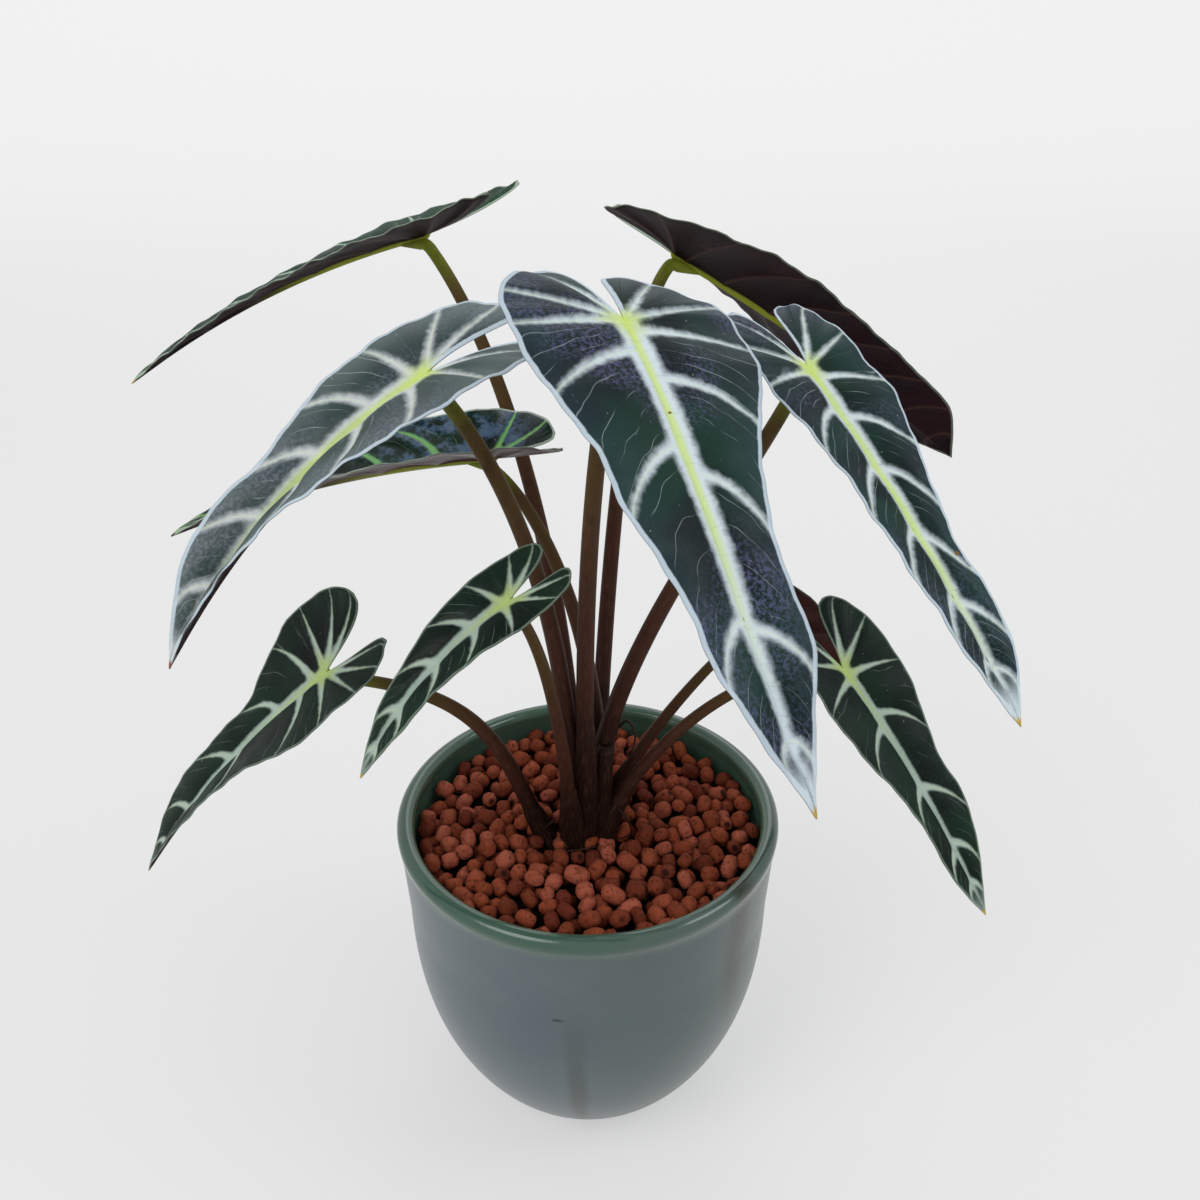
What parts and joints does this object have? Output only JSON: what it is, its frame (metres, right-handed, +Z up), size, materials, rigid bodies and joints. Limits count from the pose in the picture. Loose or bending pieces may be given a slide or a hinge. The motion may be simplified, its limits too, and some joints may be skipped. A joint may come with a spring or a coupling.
{
  "type": "potted alocasia plant",
  "caption": "Small potted alocasia: dark arrowhead leaves with pale veins on long thin stalks, in a round glazed planter filled with baked clay granules.",
  "frame": {"origin": "centre of the planter's flat base, at the surface it stands on", "axes": "+Z up along the planter's axis, -Y towards the side that the picture shows, +X to the right as seen from there"},
  "size_m": [0.3295, 0.2553, 0.3582],
  "materials": {
    "glaze": "gloss",
    "clay": "matte",
    "stalk": "satin",
    "leaf": "satin"
  },
  "bodies": {
    "root": {"pot": "glaze", "clay_granules": "clay", "crown": "stalk", "stalk_1": "stalk", "stalk_2": "stalk", "stalk_3": "stalk", "stalk_4": "stalk", "stalk_5": "stalk", "stalk_6": "stalk", "stalk_7": "stalk", "stalk_8": "stalk", "stalk_9": "stalk", "stalk_10": "stalk", "blade_1": "leaf", "blade_2": "leaf", "blade_3": "leaf", "blade_4": "leaf", "blade_5": "leaf", "blade_6": "leaf", "blade_7": "leaf", "blade_8": "leaf", "blade_9": "leaf", "blade_10": "leaf"}
  },
  "joints": []
}
